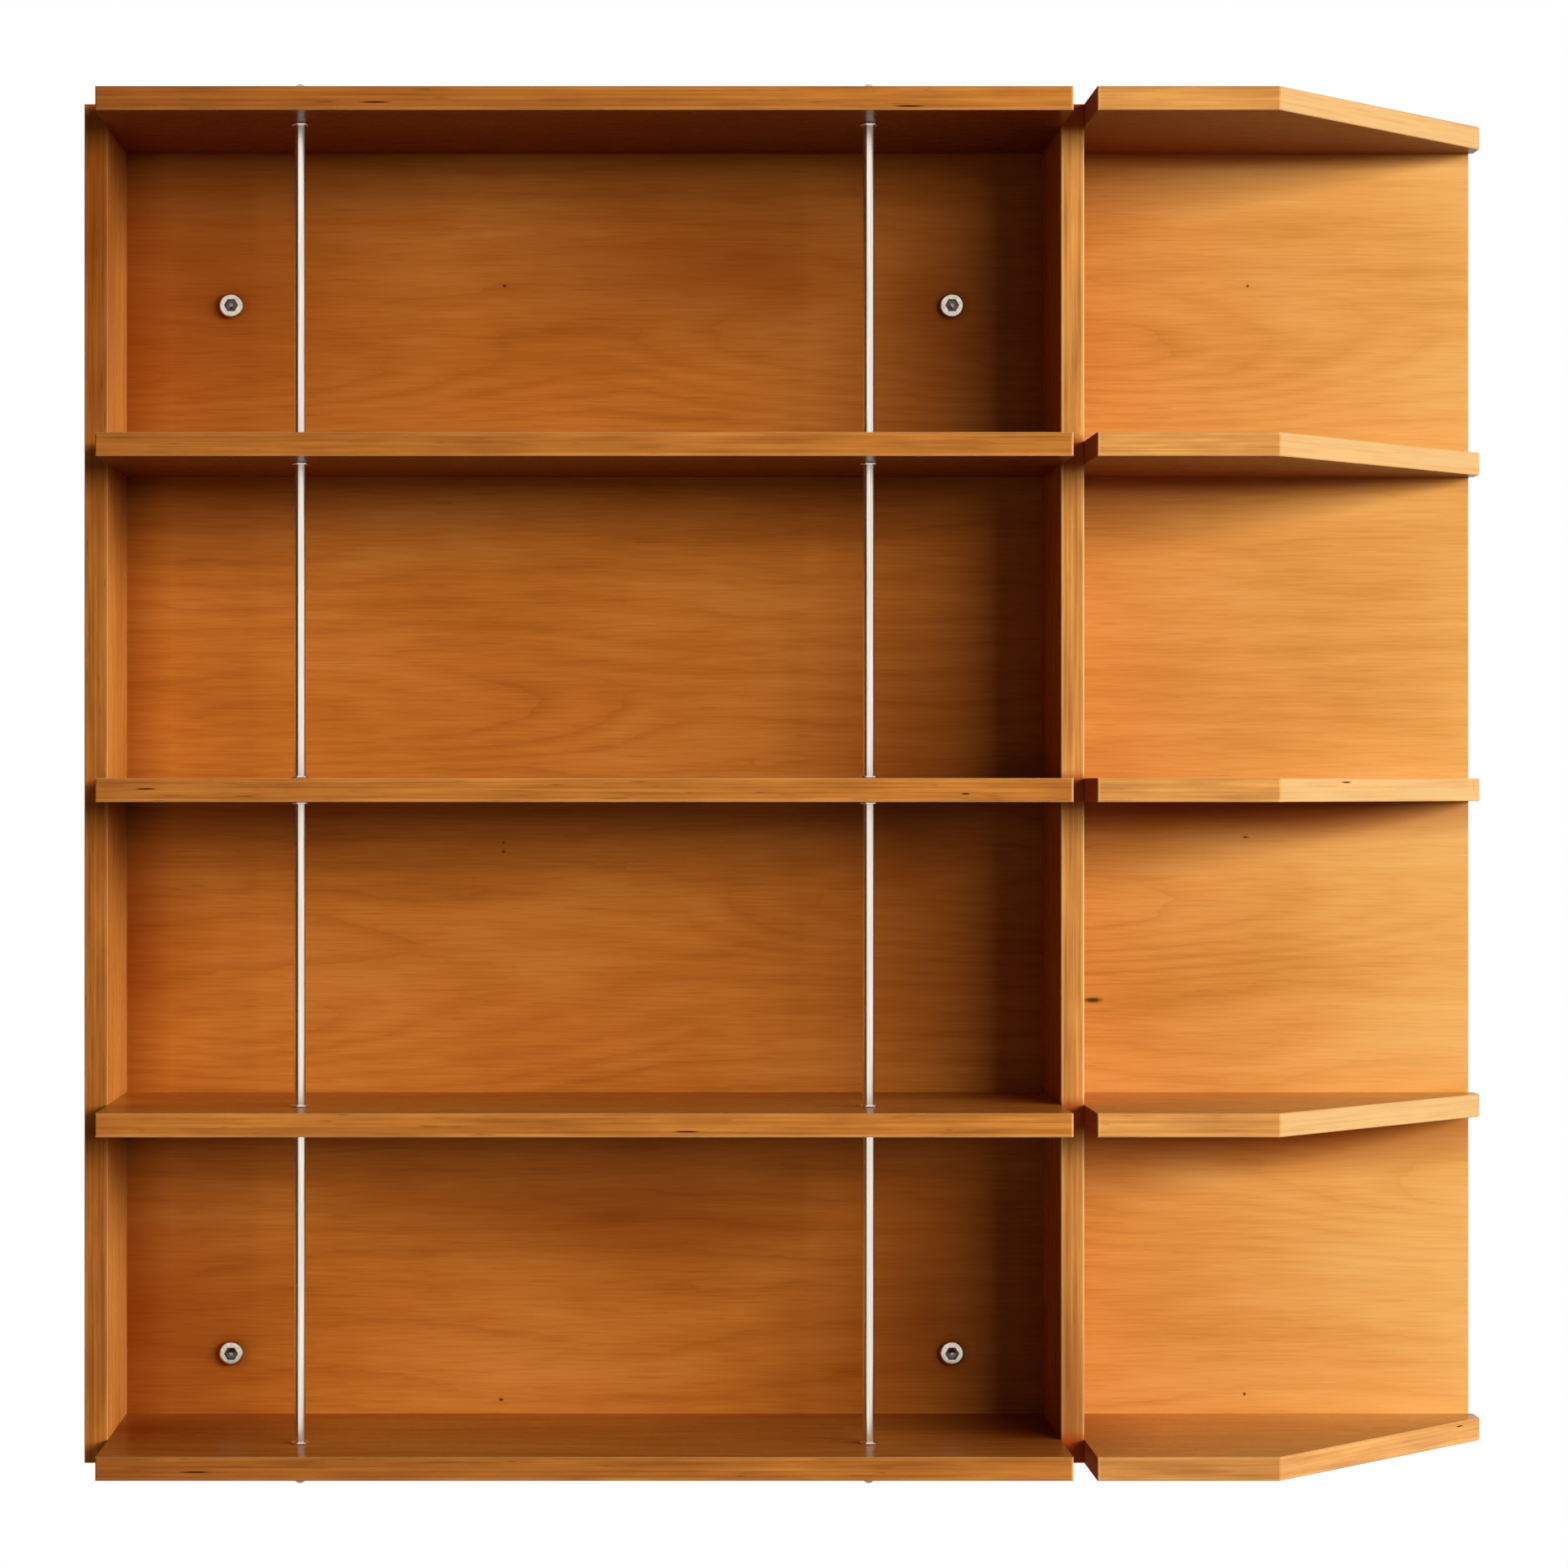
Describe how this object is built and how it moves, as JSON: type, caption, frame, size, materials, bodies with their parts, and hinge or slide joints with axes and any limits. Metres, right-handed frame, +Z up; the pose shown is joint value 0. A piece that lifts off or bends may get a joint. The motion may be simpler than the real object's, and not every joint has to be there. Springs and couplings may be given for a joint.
{
  "type": "wall unit",
  "caption": "Wall-hung plywood shelving unit with slotted uprights, steel tie rods and an open side bay whose shelves taper back to the panel.",
  "frame": {"origin": "centre of the rectangle of wall bolts, on the wall plane at the rear face of the back panel", "axes": "+X to the right seen from the front, +Y into the wall, +Z up"},
  "size_m": [1.227, 0.295, 1.1962],
  "materials": {
    "plywood_sheet": "satin varnish",
    "plywood_board": "satin varnish",
    "tube_steel": "bright drawn",
    "rod_steel": "zinc plated",
    "bolt_steel": "zinc plated"
  },
  "bodies": {
    "root": {"back_panel": "plywood_sheet", "left_upright": "plywood_board", "middle_upright": "plywood_board", "top_shelf": "plywood_board", "upper_shelf": "plywood_board", "middle_shelf": "plywood_board", "lower_shelf": "plywood_board", "bottom_shelf": "plywood_board", "left_tube_1": "tube_steel", "left_tube_2": "tube_steel", "left_tube_3": "tube_steel", "left_tube_4": "tube_steel", "right_tube_1": "tube_steel", "right_tube_2": "tube_steel", "right_tube_3": "tube_steel", "right_tube_4": "tube_steel", "left_tie_rod": "rod_steel", "right_tie_rod": "rod_steel", "end_washers": "rod_steel", "cap_nuts": "rod_steel", "wall_bolts": "bolt_steel"}
  },
  "joints": []
}
